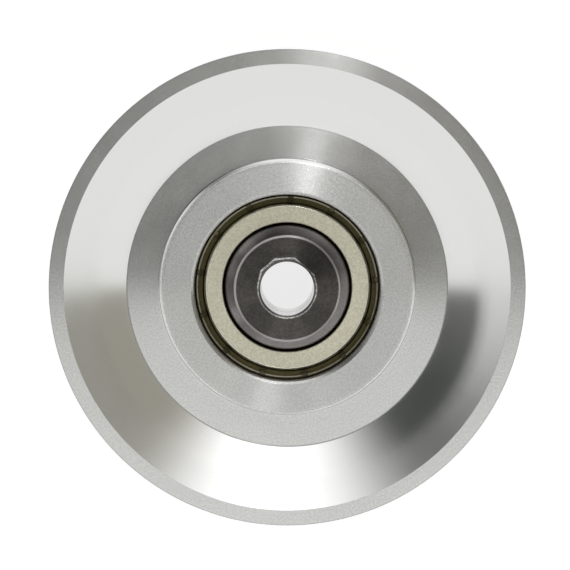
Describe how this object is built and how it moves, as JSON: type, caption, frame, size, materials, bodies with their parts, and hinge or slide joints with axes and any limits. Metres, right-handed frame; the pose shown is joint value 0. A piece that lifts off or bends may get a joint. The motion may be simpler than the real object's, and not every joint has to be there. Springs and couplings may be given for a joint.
{
  "type": "rope pulley",
  "caption": "Turned aluminium V-groove rope pulley on a shielded ball bearing, with stepped steel bushes for an axle bolt.",
  "frame": {"origin": "centre of the wheel, on the bore's axis and in the middle plane of the rope groove", "axes": "+Z along the bore's axis out of the front face, the side with the fixed lip; +X and +Y span the wheel's plane"},
  "size_m": [0.092, 0.092, 0.025],
  "materials": {
    "turned_aluminium": "satin turned",
    "bearing_steel": "ground",
    "cage_steel": "pressed",
    "shield_steel": "matt pale tan passivated",
    "bush_steel": "turned, dark",
    "spring_steel": "phosphated",
    "polished_steel": "polished"
  },
  "bodies": {
    "axle": {"bearing_inner_ring": "bearing_steel", "bush_front": "bush_steel", "bush_rear": "bush_steel"},
    "wheel": {"sheave": "turned_aluminium", "bearing_outer_ring": "bearing_steel", "shield_front": "shield_steel", "shield_rear": "shield_steel", "circlip": "spring_steel"},
    "cage": {"cage_front": "cage_steel", "cage_rear": "cage_steel", "rivet_1": "cage_steel", "rivet_2": "cage_steel", "rivet_3": "cage_steel", "rivet_4": "cage_steel", "rivet_5": "cage_steel", "rivet_6": "cage_steel", "rivet_7": "cage_steel", "rivet_8": "cage_steel"},
    "rolling_1": {"ball_1": "polished_steel"},
    "rolling_2": {"ball_2": "polished_steel"},
    "rolling_3": {"ball_3": "polished_steel"},
    "rolling_4": {"ball_4": "polished_steel"},
    "rolling_5": {"ball_5": "polished_steel"},
    "rolling_6": {"ball_6": "polished_steel"},
    "rolling_7": {"ball_7": "polished_steel"},
    "rolling_8": {"ball_8": "polished_steel"}
  },
  "joints": [
    {"name": "wheel_spin", "type": "hinge", "parent": "axle", "child": "wheel", "pos_m": [0, 0, 0], "axis": [0, 0, 1], "continuous": true},
    {"name": "cage_spin", "type": "hinge", "parent": "axle", "child": "cage", "pos_m": [0, 0, 0], "axis": [0, 0, 1], "continuous": true},
    {"name": "ball_1_roll", "type": "hinge", "parent": "cage", "child": "rolling_1", "pos_m": [0.01425, 0, 0], "axis": [0, 0, 1], "continuous": true},
    {"name": "ball_2_roll", "type": "hinge", "parent": "cage", "child": "rolling_2", "pos_m": [0.01008, 0.01008, 0], "axis": [0, 0, 1], "continuous": true},
    {"name": "ball_3_roll", "type": "hinge", "parent": "cage", "child": "rolling_3", "pos_m": [0, 0.01425, 0], "axis": [0, 0, 1], "continuous": true},
    {"name": "ball_4_roll", "type": "hinge", "parent": "cage", "child": "rolling_4", "pos_m": [-0.01008, 0.01008, 0], "axis": [0, 0, 1], "continuous": true},
    {"name": "ball_5_roll", "type": "hinge", "parent": "cage", "child": "rolling_5", "pos_m": [-0.01425, 0, 0], "axis": [0, 0, 1], "continuous": true},
    {"name": "ball_6_roll", "type": "hinge", "parent": "cage", "child": "rolling_6", "pos_m": [-0.01008, -0.01008, 0], "axis": [0, 0, 1], "continuous": true},
    {"name": "ball_7_roll", "type": "hinge", "parent": "cage", "child": "rolling_7", "pos_m": [0, -0.01425, 0], "axis": [0, 0, 1], "continuous": true},
    {"name": "ball_8_roll", "type": "hinge", "parent": "cage", "child": "rolling_8", "pos_m": [0.01008, -0.01008, 0], "axis": [0, 0, 1], "continuous": true}
  ],
  "couplings": [
    {"joint": "cage_spin", "follows": "wheel_spin", "ratio": 0.61837},
    {"joint": "ball_1_roll", "follows": "wheel_spin", "ratio": 1.9937},
    {"joint": "ball_2_roll", "follows": "wheel_spin", "ratio": 1.9937},
    {"joint": "ball_3_roll", "follows": "wheel_spin", "ratio": 1.9937},
    {"joint": "ball_4_roll", "follows": "wheel_spin", "ratio": 1.9937},
    {"joint": "ball_5_roll", "follows": "wheel_spin", "ratio": 1.9937},
    {"joint": "ball_6_roll", "follows": "wheel_spin", "ratio": 1.9937},
    {"joint": "ball_7_roll", "follows": "wheel_spin", "ratio": 1.9937},
    {"joint": "ball_8_roll", "follows": "wheel_spin", "ratio": 1.9937}
  ]
}
